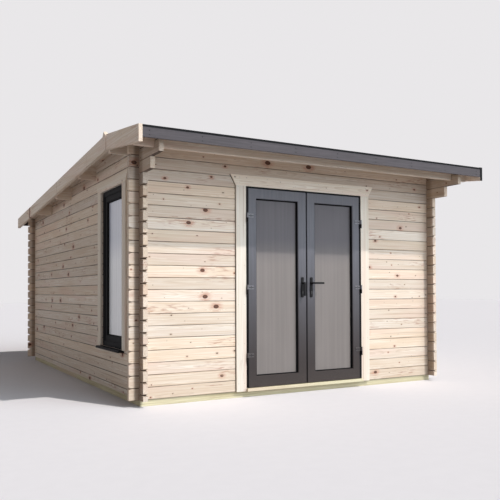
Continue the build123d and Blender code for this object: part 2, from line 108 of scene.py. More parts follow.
SKY_SHOWN = (0.815, 0.800, 0.815)


class Value:
    """An output of a shader node. Arithmetic with it adds math nodes."""

    def __init__(self, shader, socket):
        self.shader, self.socket = shader, socket

    def __add__(self, other):
        return self.shader.math("ADD", self, other)

    def __sub__(self, other):
        return self.shader.math("SUBTRACT", self, other)

    def __rsub__(self, other):
        return self.shader.math("SUBTRACT", other, self)

    def __mul__(self, other):
        return self.shader.math("MULTIPLY", self, other)

    def __truediv__(self, other):
        return self.shader.math("DIVIDE", self, other)

    def __gt__(self, other):
        return self.shader.math("GREATER_THAN", self, other)

    def __lt__(self, other):
        return self.shader.math("LESS_THAN", self, other)

    def __abs__(self):
        return self.shader.math("ABSOLUTE", self)

    def floor(self):
        return self.shader.math("FLOOR", self)

    def fraction(self):
        return self.shader.math("FRACT", self)

    def root(self):
        return self.shader.math("SQRT", self)

    def exponent(self):
        return self.shader.math("EXPONENT", self)


class Shader:
    """One procedural material around a Principled shader."""

    def __init__(self, name):
        self.material = bpy.data.materials.new(name)
        self.material.use_nodes = True
        self.tree = self.material.node_tree
        self.tree.nodes.clear()
        self.bsdf = self.node("ShaderNodeBsdfPrincipled")
        output = self.node("ShaderNodeOutputMaterial")
        self.tree.links.new(self.bsdf.outputs[0], output.inputs[0])
        coordinates = self.node("ShaderNodeTexCoord")
        self.place = Value(self, coordinates.outputs["Object"])
        self.normal = Value(self, coordinates.outputs["Normal"])

    def node(self, kind, **settings):
        made = self.tree.nodes.new(kind)
        for key, value in settings.items():
            setattr(made, key, value)
        return made

    def put(self, socket, value):
        if isinstance(value, Value):
            self.tree.links.new(value.socket, socket)
        elif socket.type == "RGBA":
            socket.default_value = (*value, 1)
        else:
            socket.default_value = value

    def math(self, operation, *values):
        made = self.node("ShaderNodeMath", operation=operation)
        for socket, value in zip(made.inputs, values):
            self.put(socket, value)
        return Value(self, made.outputs[0])

    def split(self, vector):
        made = self.node("ShaderNodeSeparateXYZ")
        self.put(made.inputs[0], vector)
        return [Value(self, socket) for socket in made.outputs]

    def join(self, x, y, z):
        made = self.node("ShaderNodeCombineXYZ")
        for socket, value in zip(made.inputs, (x, y, z)):
            self.put(socket, value)
        return Value(self, made.outputs[0])

    def noise(self, vector, scale, detail, roughness=0.5):
        made = self.node("ShaderNodeTexNoise")
        self.put(made.inputs["Vector"], vector)
        self.put(made.inputs["Scale"], scale)
        self.put(made.inputs["Detail"], detail)
        self.put(made.inputs["Roughness"], roughness)
        return Value(self, made.outputs[0])

    def random(self, x, y):
        """Four random numbers for a cell: red, green, blue and value."""
        made = self.node("ShaderNodeTexWhiteNoise", noise_dimensions="2D")
        self.put(made.inputs["Vector"], self.join(x, y, 0.0))
        colour = self.node("ShaderNodeSeparateColor")
        self.put(colour.inputs[0], Value(self, made.outputs["Color"]))
        return [Value(self, socket) for socket in (*colour.outputs, made.outputs["Value"])]

    def step(self, value, low, high, low_to=0.0, high_to=1.0):
        """Smooth step from low to high."""
        made = self.node("ShaderNodeMapRange", interpolation_type="SMOOTHSTEP")
        for socket, number in zip(made.inputs, (value, low, high, low_to, high_to)):
            self.put(socket, number)
        return Value(self, made.outputs[0])

    def mix(self, factor, a, b, blend="MIX"):
        made = self.node("ShaderNodeMix", data_type="RGBA", blend_type=blend)
        self.put(made.inputs[0], factor)
        self.put(made.inputs[6], a)
        self.put(made.inputs[7], b)
        return Value(self, made.outputs[2])

    def tinted(self, colour, tint):
        """Colour times tint."""
        return self.mix(1.0, colour, tint, "MULTIPLY")

    def bump(self, height, distance, strength):
        made = self.node("ShaderNodeBump")
        self.put(made.inputs["Strength"], strength)
        self.put(made.inputs["Distance"], distance)
        self.put(made.inputs["Height"], height)
        return Value(self, made.outputs[0])

    def finish(self, colour, roughness, normal=None, **others):
        self.put(self.bsdf.inputs["Base Color"], colour)
        self.put(self.bsdf.inputs["Roughness"], roughness)
        if normal is not None:
            self.put(self.bsdf.inputs["Normal"], normal)
        for key, value in others.items():
            self.put(self.bsdf.inputs[key.replace("_", " ")], value)
        return self.material


def scaled(colour, share):
    return tuple(share * channel for channel in colour)


# Wood

RING_WIDTH = 0.0048
FAR_FROM_A_KNOT = 50.0


def knots(s, along, across, index, seed, cell, density, smallest, largest):
    """Distance to the knot of a cell as a share of its radius, and how far the fibres bend round it."""
    start = s.random(index, seed)[0] * cell
    number = ((along + start) / cell).floor()
    r, g, b, v = s.random(number + seed * 3.7, index)
    middle = (number + (r * 0.6 + 0.2)) * cell - start
    du = (along - middle) * 0.66
    dv = across - (g - 0.5) * 0.085
    size = v * (v * v) * (largest - smallest) + smallest
    missing = 1.0 - (b < density)
    share = (du * du + dv * dv).root() / size + missing * FAR_FROM_A_KNOT
    bend = (share * share * -0.16).exponent() * size
    return share, bend


def knot_marks(s, colour, share, stain, warm, ring, ragged, face):
    """Stained halo, ringed core and black rim of the knots on the faces of a board."""
    halo = s.step(share, 3.8, 0.8) * ragged * face
    core = s.step(share, 1.08, 0.92) * face
    rim = s.step(share, 0.66, 0.95) * s.step(share, 1.16, 1.0) * face
    rings = (share * 3.5).fraction()
    colour = s.mix(halo, colour, s.mix(0.35, stain, warm))
    colour = s.mix(core, colour, s.mix(rings * 0.38, KNOT_CORE, s.mix(0.5, ring, KNOT_CORE)))
    return s.mix(rim * 0.85, colour, KNOT_RIM)


def wood(name, grain, stack, pitch, start, depth, pale, warm, ring, seed,
         density=0.5, tone=0.15, dark=1.0, joint=0.0, corner=None, resin=0.6):
    """Sawn softwood: growth rings about a pith that differs from board to board, fibres and knots.

    The grain runs along one axis and the boards are stacked along another, each of them pitch wide
    from start on. The pith lies near depth on the third axis. Density is the share of places that have
    a knot, tone how much the boards differ, dark a factor on their brightness, resin the strength of
    the resin streaks, and joint how far the dark joints reach in. Corner says from where on both sides
    the log ends get painted shade, the shadow of the crossing logs, how far it fades out and what is left
    of it there.
    """
    s = Shader(name)
    place, normal = s.split(s.place), s.split(s.normal)
    along, level = place[AXES[grain]], place[AXES[stack]]
    through = place[3 - AXES[grain] - AXES[stack]]
    index = ((level - start) / pitch).floor()
    across = (level - start) - (index + 0.5) * pitch
    r, g, b, v = s.random(index, seed + 0.5)
    shift = v * 40.0

    def drawn(lengthwise, crosswise, detail, shift=shift, height=level, roughness=0.5):
        """Noise that is drawn out along the grain."""
        spot = s.join(along * lengthwise + shift, height * crosswise, through * crosswise)
        return s.noise(spot, 1.0, detail, roughness)

    big, big_bend = knots(s, along, across, index, seed + 1.5, 0.50, density, 0.004, 0.020)
    small, small_bend = knots(s, along, across, index, seed + 2.5, 0.19, 0.8 * density, 0.0015, 0.006)
    slow = drawn(0.9, 5.0, 2.0, height=across)
    fibre = drawn(1.6, 95.0, 3.0, roughness=0.6)
    blotch = drawn(1.3, 9.0, 2.0)
    flush = drawn(0.8, 6.0, 1.0, shift=shift * -1.0)
    streak = drawn(0.7, 40.0, 1.0)
    pocket = drawn(1.5, 5.0, 1.0, shift=seed)
    thread = drawn(9.0, 80.0, 2.0)

    warp = (slow - 0.5) * 0.075 + (big_bend * 1.6 + small_bend * 1.4)
    da = across - (r - 0.5) * 0.09
    db = through - ((g - 0.5) * 0.13 + depth)
    radius = (da * da + db * db).root() + warp
    turn = (radius * (1 / RING_WIDTH)).fraction()
    late = s.step(turn, 0.35, 0.92) * s.step(turn, 1.0, 0.95)
    end = abs(normal[AXES[grain]]) > 0.6
    face = 1.0 - end

    colour = s.mix(s.step(fibre, 0.33, 0.68), pale, warm)
    colour = s.mix(s.step(blotch, 0.5, 0.72) * 0.55, colour, warm)
    colour = s.mix(s.step(flush, 0.5, 0.72) * 0.55, colour, BLUSH)
    colour = s.mix(late * 0.24 + late * end * 0.22, colour, ring)
    colour = s.mix(s.step(streak, 0.62, 0.76) * 0.42, colour, ring)
    colour = s.mix(s.step(pocket, 0.60, 0.68) * s.step(thread, 0.50, 0.64) * resin, colour, RESIN)
    colour = s.mix(end * 0.10, colour, ring)
    value = (b * (1.5 * tone) + (1.0 - tone)) * dark
    colour = s.tinted(colour, s.join(value, value * (v * 0.055 + 0.965), value * (r * 0.13 + 0.92)))

    ragged = s.step(thread, 0.40, 0.60, 0.30, 0.95)
    for share, stain in ((big, KNOT_STAIN), (small, ring)):
        colour = knot_marks(s, colour, share, stain, warm, ring, ragged, face)
    if joint:
        edge = s.step(abs(across), pitch / 2 - joint, pitch / 2 - 0.3 * joint)
        uneven = s.noise(s.join(along * 1.9, index * 3.3, seed), 1.0, 3.0)
        colour = s.mix(edge * s.step(uneven, 0.33, 0.62, 0.35, 0.95), colour, JOINT)
    # Painted shade: the log ends darken near the corners, where the crossing logs throw their shadow.
    if corner:
        away = abs(along)
        at, reach, least = corner
        painted_shade = s.step(away, at + reach, at + 0.4 * reach, least, 0.74) * (away > at - 0.001)
        colour = s.mix(painted_shade * face, colour, s.tinted(colour, CORNER_SHADE))

    height = late * 0.35 + (fibre * 0.8 + s.step(big, 1.1, 0.9) * 0.5)
    return s.finish(colour, fibre * 0.22 + 0.58, s.bump(height, 0.0006, 0.55), Specular_IOR_Level=0.3)


# Paint, metal, glass and felt

def painted(name, colour, deep, grain, rough, fine, seed, sheen, reflection_foot=None):
    """Coated board or profile: faint grain along its length, mottling, and dust that settles low.

    Fine is the depth of the grain, and the foot colour the bottom of a painted reflection on the doors,
    darker and browner low down.
    """
    s = Shader(name)
    place = s.split(s.place)
    stretch = [2.0 if axis == grain else 70.0 for axis in AXES]
    lines = s.noise(s.join(*[place[i] * stretch[i] + seed for i in range(3)]), 1.0, 4.0, 0.65)
    mottle = s.noise(s.place, 3.2, 4.0, 0.6)
    speck = s.noise(s.place, 420.0, 1.0)
    tint = s.mix(s.step(lines, 0.3, 0.75), deep, colour)
    tint = s.mix(s.step(mottle, 0.4, 0.75) * 0.35, tint, scaled(colour, 1.22))
    # Painted reflection: from the top down the colour runs to a darker, browner foot.
    if reflection_foot:
        tint = s.mix(s.step(place[2], 1.75, 0.15), tint, reflection_foot)
    dust = s.step(place[2], 0.35, 0.0) * 0.15 * s.step(speck, 0.3, 0.7)
    tint = s.mix(dust, tint, DUST)
    bump = s.bump(lines + speck * 0.35, fine, 0.5)
    return s.finish(tint, (mottle - 0.5) * 0.22 + rough, bump, Specular_IOR_Level=sheen)


def metal(name, colour, metallic, rough, gloss):
    """Cast metal, zinc or rubber: a fine pitted surface with duller areas."""
    s = Shader(name)
    fine = s.noise(s.place, 260.0, 3.0)
    broad = s.noise(s.place, 22.0, 3.0)
    tint = s.mix(s.step(broad, 0.35, 0.7), colour, scaled(colour, 0.78))
    bump = s.bump(fine, 0.00012, 0.45)
    return s.finish(tint, (broad - 0.5) * 0.2 + rough, bump, Metallic=metallic, Specular_IOR_Level=gloss)


def glass(name, colour, alpha, rough, ior):
    """Satin pane: upright bands in a pale body, slight waviness, and a cooler, darker top that is painted
    shade.
    """
    s = Shader(name)
    x, y, z = s.split(s.place)
    bands = s.noise(s.join(x * 26.0, y * 26.0, z * 0.6), 1.0, 2.0)
    cloud = s.noise(s.place, 2.1, 3.0)
    tint = s.mix(s.step(bands, 0.3, 0.7), colour, scaled(colour, 0.90))
    tint = s.mix(s.step(cloud, 0.4, 0.8) * 0.3, tint, scaled(colour, 1.14))
    # Painted shade: the top of the pane is cooler and darker, like the eave's shadow and a dark reflection
    # falling on it.
    tint = s.mix(s.step(z, 1.62, 1.30), s.tinted(tint, GLASS_TOP_SHADE), tint)
    return s.finish(tint, cloud * 0.05 + rough, s.bump(cloud, 0.002, 0.3), Alpha=alpha, IOR=ior)


def membrane(name):
    """Mineral roofing felt: dark granules with worn patches."""
    s = Shader(name)
    grit = s.noise(s.place, 640.0, 1.0)
    patch = s.noise(s.place, 2.6, 5.0, 0.6)
    tint = s.mix(s.step(grit, 0.35, 0.7), FELT_DARK, FELT_PALE)
    tint = s.mix(s.step(patch, 0.45, 0.75) * 0.35, tint, FELT_WORN)
    return s.finish(tint, 0.88, s.bump(grit, 0.0008, 0.8), Specular_IOR_Level=0.25)


SPRUCE = dict(pale=SPRUCE_PALE, warm=SPRUCE_WARM, ring=SPRUCE_RING)
TRIM = dict(pale=TRIM_PALE, warm=TRIM_WARM, ring=SPRUCE_RING, density=0.28, tone=0.04, resin=0.15)
TREATED = dict(pale=TREATED_PALE, warm=TREATED_WARM, ring=TREATED_RING, resin=0.1)
# The corner entries paint shade onto the log ends near the corners.
END_LOGS = dict(joint=0.0048, corner=(WALL_X, 0.070, 0.0), **SPRUCE)
SIDE_LOGS = dict(corner=(WALL_Y, 0.112, 0.46), **SPRUCE)

# Look: name, axis of the grain, axis of the stack, pitch, start, depth of the pith, and the rest

WOODS = {
    "front_logs": (
        "spruce_front", "x", "z", LOG, BASE, -PITH_Y, dict(seed=3.0, **END_LOGS),
    ),
    "back_logs": (
        "spruce_back", "x", "z", LOG, BASE, PITH_Y, dict(seed=11.0, **END_LOGS),
    ),
    "left_logs": (
        "spruce_left", "y", "z", LOG, SIDE_BASE, -PITH_X, dict(seed=23.0, joint=0.0062, **SIDE_LOGS),
    ),
    "right_logs": (
        "spruce_right", "y", "z", LOG, SIDE_BASE, PITH_X, dict(seed=31.0, joint=0.0048, **SIDE_LOGS),
    ),
    "beams": (
        "spruce_beams", "x", "y", 0.5, -2.9, 2.4, dict(seed=47.0, **SPRUCE),
    ),
    "trim_upright": (
        "trim_upright", "z", "x", 0.6, -2.1, -WALL_Y, dict(seed=53.0, **TRIM),
    ),
    "trim_level": (
        "trim_level", "x", "z", 0.5, 1.9, -WALL_Y, dict(seed=60.5, dark=1.10, **TRIM),
    ),
    "side_trim_upright": (
        "side_trim_upright", "z", "y", 0.6, -2.6, -WALL_X, dict(seed=61.0, **TRIM),
    ),
    "side_trim_level": (
        "side_trim_level", "y", "z", 0.5, 1.9, -WALL_X, dict(seed=67.0, **TRIM),
    ),
    "barge": (
        "barge_boards", "y", "x", 1.0, -2.5, 2.4,
        dict(seed=71.0, density=0.3, tone=0.06, dark=1.07, **SPRUCE),
    ),
    "roof_boards": (
        "roof_board_pine", "y", "x", ROOF_BOARD_PITCH, -HALF_ROOF, 2.4,
        dict(seed=79.0, dark=0.92, **SPRUCE),
    ),
    "floor_boards": (
        "floor_board_pine", "y", "x", FLOOR_BOARD_PITCH, FLOOR_START, 0.07, dict(seed=83.0, **SPRUCE),
    ),
    "bearers_x": (
        "treated_bearer_x", "x", "y", 0.5, -2.45, 0.03, dict(seed=89.0, density=0.4, **TREATED),
    ),
    "bearers_y": (
        "treated_bearer_y", "y", "x", 0.5, -1.9, 0.03, dict(seed=97.0, density=0.4, **TREATED),
    ),
    "threshold": (
        "threshold_oak", "x", "z", 0.5, -0.1, -WALL_Y,
        dict(seed=101.0, density=0.25, tone=0.04, **TREATED),
    ),
}

# Look: name, colour, deep colour, axis of the grain, roughness, depth of the grain, seed, specular level,
# and for the door leaves and hinge flags, the colour at the foot of a painted reflection, darker towards
# the bottom

PAINTS = {
    "anthracite_board": (
        "anthracite_board", (0.103, 0.090, 0.098), (0.066, 0.058, 0.063), "x", 0.60, 0.0004, 0.0, 0.2,
    ),
    "anthracite_leaf": (
        "anthracite_leaf", (0.142, 0.140, 0.161), (0.116, 0.114, 0.130), "z", 0.42, 0.00018, 3.0, 0.25,
        (0.035, 0.0255, 0.0235),
    ),
    "anthracite_hinge": (
        "anthracite_hinge", (0.215, 0.210, 0.232), (0.185, 0.182, 0.200), "x", 0.40, 0.00010, 4.0, 0.25,
        (0.070, 0.058, 0.056),
    ),
    "black_frame": (
        "black_frame", (0.026, 0.026, 0.029), (0.018, 0.018, 0.020), "z", 0.55, 0.00018, 5.0, 0.1,
    ),
    "anthracite_window": (
        "anthracite_window", (0.016, 0.016, 0.018), (0.011, 0.011, 0.012), "z", 0.55, 0.00018, 7.0, 0.03,
    ),
    "anthracite_metal": (
        "anthracite_metal", (0.013, 0.013, 0.014), (0.009, 0.009, 0.010), "x", 0.60, 0.0001, 9.0, 0.06,
    ),
}

# Look: name, colour, metallic, roughness, specular level

METALS = {
    "black_metal": ("black_metal", (0.010, 0.009, 0.010), 0.0, 0.45, 0.12),
    "hinge_grey": ("hinge_grey", (0.050, 0.048, 0.050), 0.0, 0.42, 0.2),
    "zinc": ("screw_zinc", (0.42, 0.38, 0.33), 0.6, 0.45, 0.5),
    # This black is gasket rubber, and also painted shade: the strips by the door trims, along the leaf
    # edges, across the hinge flags and up the pane reveals.
    "gasket_and_shade": ("rubber_and_painted_shade", (0.010, 0.010, 0.011), 0.0, 0.7, 0.05),
}

LOOKS = {
    "bearers_x": "end_bearers floor_joists",
    "bearers_y": "side_bearers",
    "floor_boards": "floor",
    "front_logs": "front_wall_left front_wall_right front_wall_top",
    "left_logs": "left_wall_lower left_wall_front_pier left_wall_rear_pier left_wall_top",
    "right_logs": "right_wall",
    "back_logs": "back_wall",
    "beams": "eave_beam ridge_purlin purlins",
    "roof_boards": "front_roof_boards rear_roof_boards",
    "membrane": "roof_cover",
    "anthracite_board": "front_fascia rear_fascia",
    "anthracite_metal": "front_edge_trim rear_edge_trim",
    "barge": "front_barge_boards rear_barge_boards",
    "black_frame": "door_frame",
    "threshold": "door_threshold",
    "trim_upright": "door_side_trims",
    "trim_level": "door_head_trim",
    "side_trim_upright": "window_side_trims",
    "side_trim_level": "window_head_trim",
    "anthracite_leaf": "left_leaf right_leaf",
    "anthracite_hinge": "left_hinge_flags right_hinge_flags",
    "black_metal": "hinge_pins left_handle_plates right_handle_plates left_lever right_lever",
    "door_glass": "left_glass right_glass",
    "anthracite_window": "window_frame window_sash window_cill",
    "window_glass": "window_glass",
}


def make_materials():
    made = {look: wood(*row, **rest) for look, (*row, rest) in WOODS.items()}
    made.update({look: painted(*row) for look, row in PAINTS.items()})
    made.update({look: metal(*row) for look, row in METALS.items()})
    made["door_glass"] = glass("satin_door_glass", DOOR_GLASS, 0.90, 0.18, 1.2)
    # The window pane's near-white colour is a painted reflection of the pale surroundings.
    made["window_glass"] = glass("satin_window_glass", WINDOW_GLASS_AND_REFLECTION, 0.97, 0.22, 2.45)
    made["membrane"] = membrane("roof_felt")
    return made


def dress_nodes():
    for look, names in LOOKS.items():
        for name in names.split():
            mesh = nodes[name].data
            mesh.materials.clear()
            mesh.materials.append(materials[look])


# Mesh helpers

def piece(name, points, faces, look, body="pod"):
    """One mesh, with its points in the frame, that rides on a body."""
    mesh = bpy.data.meshes.new(name)
    mesh.from_pydata([tuple(point) for point in points], [], faces)
    mesh.validate()
    shell = bmesh.new()
    shell.from_mesh(mesh)
    bmesh.ops.recalc_face_normals(shell, faces=shell.faces)
    shell.to_mesh(mesh)
    shell.free()
    made = bpy.data.objects.new(name, mesh)
    bpy.context.scene.collection.objects.link(made)
    mesh.materials.append(materials[look])
    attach(made, body)
    return made


def bridged(faces, first, second, count):
    """Faces between two closed rings of points, given by the number of each ring's first point."""
    for i in range(count):
        j = (i + 1) % count
        faces.append([first + i, first + j, second + j, second + i])


def swept(points, faces, section_a, section_b):
    """Adds a closed bar between two outlines with the same number of corners."""
    first, count = len(points), len(section_a)
    points += section_a + section_b
    faces.append([first + i for i in range(count)])
    faces.append([first + count + i for i in reversed(range(count))])
    for i in range(count):
        j = (i + 1) % count
        faces.append([first + j, first + i, first + count + i, first + count + j])


# Boards of the roof and the floor

def roof_top(y):
    slope = FRONT_PITCH if y < RIDGE_Y else REAR_PITCH
    return RIDGE_Z - abs(y - RIDGE_Y) * math.tan(slope)


def under(y):
    return roof_top(y) - BOARD


def board_row(name, start_x, end_x, count, ends, thickness, groove, look, groove_up):
    """Tongue-and-groove boards side by side, with a V joint on one face.

    Ends holds the place along Y of both ends and a function for the height of the underside there.
    """
    points, faces = [], []
    pitch = (end_x - start_x) / count
    for number in range(count):
        a, b = start_x + number * pitch, start_x + (number + 1) * pitch
        plain = [(a, 0), (b, 0)]
        shoulder = thickness - groove
        grooved = [(b, shoulder), (b - groove, thickness), (a + groove, thickness), (a, shoulder)]
        profile = [(x, h if groove_up else thickness - h) for x, h in plain + grooved]
        swept(points, faces, *[[Vector((x, y, base(y) + h)) for x, h in profile] for y, base in ends])
    return piece(name, points, faces, look)


def roof_and_floor_boards():
    groove = 0.004
    front_boards = board_row(
        "front_slope_boards", -HALF_ROOF, HALF_ROOF, ROOF_BOARDS,
        [(FRONT_Y + FASCIA, under), (RIDGE_Y, under)], BOARD, groove, "roof_boards", False,
    )
    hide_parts("front_roof_boards")
    rear_boards = board_row(
        "rear_slope_boards", -HALF_ROOF, HALF_ROOF, ROOF_BOARDS,
        [(RIDGE_Y, under), (REAR_Y - FASCIA, under)], BOARD, groove, "roof_boards", False,
    )
    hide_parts("rear_roof_boards")

    floor_low, floor_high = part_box("floor")
    floor_boards = board_row(
        "floor_planks", floor_low.x, floor_high.x, FLOOR_BOARDS,
        [(floor_low.y, lambda y: floor_low.z), (floor_high.y, lambda y: floor_low.z)],
        floor_high.z - floor_low.z, 0.003, "floor_boards", True,
    )
    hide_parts("floor")


# Felt and covers of the roof

FELT_LAPS = ((-2.52, -2.44), (-2.20, -1.96), (-1.10, -1.02), (-0.12, -0.04), (0.86, 0.94), (1.84, 1.92))


def felt_laps():
    """Laps of the felt across the roof. The one at the ridge bends over it."""
    points, faces = [], []
    lift, thick = 0.0042, Vector((0, 0, 0.0016))
    for low_y, high_y in FELT_LAPS:
        stops = [low_y, RIDGE_Y, high_y] if low_y < RIDGE_Y < high_y else [low_y, high_y]
        for pair in zip(stops, stops[1:]):
            sections = []
            for y in pair:
                left, right = [Vector((x, y, roof_top(y) + lift)) for x in (-HALF_ROOF, HALF_ROOF)]
                sections.append([left, right, right + thick, left + thick])
            swept(points, faces, *sections)
    piece("felt_laps", points, faces, "membrane")


def verge_end_cap():
    """Black cover folded over the front end of the right barge board."""
    low, high = HALF_ROOF, HALF_ROOF + BARGE
    rise, drop, back, thick = 0.010, 0.137, 0.055, 0.0016
    front = FRONT_Y
    crest = roof_top(front) + rise
    rear_crest = roof_top(front + back) + rise
    outline = [
        (front, crest - rise - drop), (front - thick, crest - rise - drop), (front - thick, crest + thick),
        (front + back, rear_crest + thick), (front + back, rear_crest), (front, crest),
    ]
    points = [Vector((x, y, z)) for x in (low, high) for y, z in outline]
    faces = []
    bridged(faces, 0, len(outline), len(outline))
    faces += [[5, 4, 3, 2], [5, 2, 1, 0], [8, 9, 10, 11], [6, 7, 8, 11]]
    piece("verge_end_cap", points, faces, "anthracite_metal")


# Screws and nails

HEAD_SIDES = 12
HEAD_RINGS = ((1.0, 0.0), (1.0, 0.16), (0.82, 0.30), (0.42, 0.32))


def screws(name, places, direction, radius, look, body="pod", proud=1.0):
    """Flat heads with a cross recess, as one mesh for a set of places. Proud scales their height."""
    points, faces = [], []
    out = Vector(direction).normalized()
    side = out.orthogonal().normalized()
    up = out.cross(side)
    for number, place in enumerate(places):
        centre, first = Vector(place), len(points)
        angles = [0.7 * number + 2 * math.pi * i / HEAD_SIDES for i in range(HEAD_SIDES)]
        for share, lift in HEAD_RINGS:
            for i, angle in enumerate(angles):
                reach = radius * share * (0.62 if share < 0.5 and i % 3 else 1.0)
                rim = reach * (math.cos(angle) * side + math.sin(angle) * up)
                points.append(centre + rim + out * radius * lift * proud)
        for i, angle in enumerate(angles):
            reach = radius * (0.12 if i % 3 else 0.30)
            rim = reach * (math.cos(angle) * side + math.sin(angle) * up)
            points.append(centre + rim + out * radius * 0.04 * proud)
        for ring in range(len(HEAD_RINGS)):
            start = first + ring * HEAD_SIDES
            bridged(faces, start, start + HEAD_SIDES, HEAD_SIDES)
        faces.append([first + len(HEAD_RINGS) * HEAD_SIDES + i for i in range(HEAD_SIDES)])
    piece(name, points, faces, look, body)


def fascia_screws():
    low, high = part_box("front_fascia")
    xs = [low.x + 0.06 + i * (high.x - low.x - 0.12) / 8 for i in range(9)]
    places = [(x, FRONT_Y, z) for x in xs for z in (low.z + 0.022, low.z + 0.058)]
    screws("front_fascia_screws", places, (0, -1, 0), 0.0042, "black_metal")


def barge_screws():
    """Screws sunk flush into the outer faces of the barge boards."""
    heights = []
    for y in (-2.95, -2.55, -2.15, -2.02, -0.98, 0.12, 1.22, 2.10, 2.52):
        heights += [(y, roof_top(y) - 0.030), (y, roof_top(y) - 0.105)]
    for side, sign in (("left", -1), ("right", 1)):
        places = [(sign * (HALF_ROOF + BARGE), y, z) for y, z in heights]
        out = (sign, 0, 0)
        screws(f"{side}_barge_screws", places, out, 0.0045, "zinc", proud=0.004)


def trim_nails():
    """Nails in pairs along both edges of the upright trims, and in two rows along the head trim."""
    inner, outer, radius = 0.088, 0.022, 0.0026
    low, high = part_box("door_side_trims")
    face = low.y
    columns = (low.x + outer, low.x + inner, high.x - inner, high.x - outer)
    places = [(x, face, 0.14 + 0.39 * row) for row in range(6) for x in columns]
    spacing = (high.x - low.x - 0.08) / 5
    places += [(low.x + 0.04 + step * spacing, face, z) for step in range(6) for z in (2.125, 2.182)]
    screws("door_trim_nails", places, (0, -1, 0), radius, "zinc")
    low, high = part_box("window_side_trims")
    columns = (low.y + outer, low.y + inner, high.y - inner, high.y - outer)
    places = [(low.x, y, 0.55 + 0.37 * row) for row in range(5) for y in columns]
    screws("window_trim_nails", places, (-1, 0, 0), radius, "zinc")


# Gaskets, and black linings and strips that paint shade

GLASS_BITE = 0.010
# Profiles of the black linings: up the reveal they paint shade, and the foot on the glass is the gasket.
LINING_FOOT = ((0.0030, 0.0062), (0.0075, 0.0048), (0.0088, 0.0026), (0.0090, 0))
DOOR_LINING = ((0, 0), (0, 0.0272), (0.0016, 0.0280), (0.0028, 0.0268), *LINING_FOOT)
WINDOW_LINING = ((0, 0), (0, 0.0150), (0.0016, 0.0158), (0.0028, 0.0146), *LINING_FOOT)


def pane_lining(name, low, high, plane, face, profile, body):
    """Black lining along the four edges of a pane that faces an axis: the foot on the glass is a gasket,
    the part up the reveal faces is painted shade.

    The profile gives the distance in from the edge and the height above the pane.
    """
    points, faces = [], []
    axis = AXES[plane]
    u = 1 - axis
    for inset, height in profile:
        for a, b in ((0, 0), (1, 0), (1, 1), (0, 1)):
            point = [0.0, 0.0, 0.0]
            point[u] = high[u] - inset if a else low[u] + inset
            point[2] = high[2] - inset if b else low[2] + inset
            point[axis] = face - height
            points.append(Vector(point))
    for k in range(len(profile)):
        bridged(faces, 4 * k, 4 * ((k + 1) % len(profile)), 4)
    piece(name, points, faces, "gasket_and_shade", body)


def pane_linings():
    bite = Vector((GLASS_BITE, 0, GLASS_BITE))
    for side in ("left", "right"):
        low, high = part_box(f"{side}_glass")
        pane_lining(f"{side}_gasket_and_reveal_shade", low + bite, high - bite, "y", low.y, DOOR_LINING, f"{side}_door")
    low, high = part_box("window_glass")
    pane_lining("window_gasket_and_reveal_shade", low, high, "x", low.x, WINDOW_LINING, "pod")


def trim_strips():
    """Dark strips beside the door trims, up round the flared ends of the head trim: painted shadow of the
    trims on the wall.
    """
    low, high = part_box("door_side_trims")
    head_low, head_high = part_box("door_head_trim")
    width, proud, wall = 0.0045, 0.0030, -WALL_Y
    points, faces = [], []
    for sign, edge, tip in ((-1, low.x, head_low.x), (1, high.x, head_high.x)):
        path = [(edge, BASE + 0.004), (edge, head_low.z), (tip, head_high.z)]
        for (xa, za), (xb, zb) in zip(path, path[1:]):
            out = xa + sign * width
            corners = ((xa, wall), (out, wall), (out, wall - proud), (xa, wall - proud))
            near = [Vector((x, y, za)) for x, y in corners]
            far = [corner + Vector((xb - xa, 0, zb - za)) for corner in near]
            swept(points, faces, near, far)
    piece("trim_shadow_strips", points, faces, "gasket_and_shade")


def gap_shade_strips():
    """Black strips round the outer edges of the door leaves: painted shade that widens the dark gap beside
    them.
    """
    leaf_low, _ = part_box("left_leaf")
    _, leaf_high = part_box("right_leaf")
    face, proud, bevel = leaf_low.y, 0.0012, 0.001
    width, top_width, inner_width = 0.0125, 0.003, 0.0040
    for side, sign, outer, inner in (("left", 1, leaf_low.x, 0.0215), ("right", -1, leaf_high.x, 0.0385)):
        points, faces = [], []
        bars = [
            ((outer, leaf_low.z), (outer + sign * width, leaf_high.z)),
            ((outer + sign * width, leaf_high.z - top_width), (inner, leaf_high.z)),
            ((inner, leaf_low.z), (inner + sign * inner_width, leaf_high.z)),
        ]
        for (xa, za), (xb, zb) in bars:
            low_x, high_x = min(xa, xb), max(xa, xb)
            section = [(low_x, 0.0), (high_x, 0.0), (high_x - bevel, proud), (low_x + bevel, proud)]
            ends = [[Vector((x, face - h, z)) for x, h in section] for z in (za, zb)]
            swept(points, faces, *ends)
        piece(f"{side}_gap_shade_strips", points, faces, "gasket_and_shade", f"{side}_door")


# Hinges and locks

HINGE_SCREWS = ((0.024, 0.021), (0.044, 0.012), (0.044, 0.030), (0.064, 0.021))


def hinge_details():
    """Four screws in each hinge flag, and a black strip across it that paints a line of shade."""
    screw_face, shade_line_face, shade_line_back = -2.4220, -2.4226, -2.4215
    shade_line_middle, half_shade_line = 0.021, 0.0022
    for side, sign in (("left", -1), ("right", 1)):
        outer = DOORS_X + sign * HINGE_EDGE
        places = [
            (outer - sign * reach, screw_face, height + rise)
            for height in HINGE_HEIGHTS
            for reach, rise in HINGE_SCREWS
        ]
        body = f"{side}_door"
        screws(f"{side}_hinge_screws", places, (0, -1, 0), 0.0040, "black_metal", body)
        points, faces = [], []
        near, far = outer - sign * 0.012, outer - sign * 0.074
        for height in HINGE_HEIGHTS:
            low_z, high_z = height + shade_line_middle - half_shade_line, height + shade_line_middle + half_shade_line
            section = [(near, low_z), (far, low_z), (far, high_z), (near, high_z)]
            ends = [[Vector((x, y, z)) for x, z in section] for y in (shade_line_back, shade_line_face)]
            swept(points, faces, *ends)
        piece(f"{side}_hinge_shade_lines", points, faces, "gasket_and_shade", body)


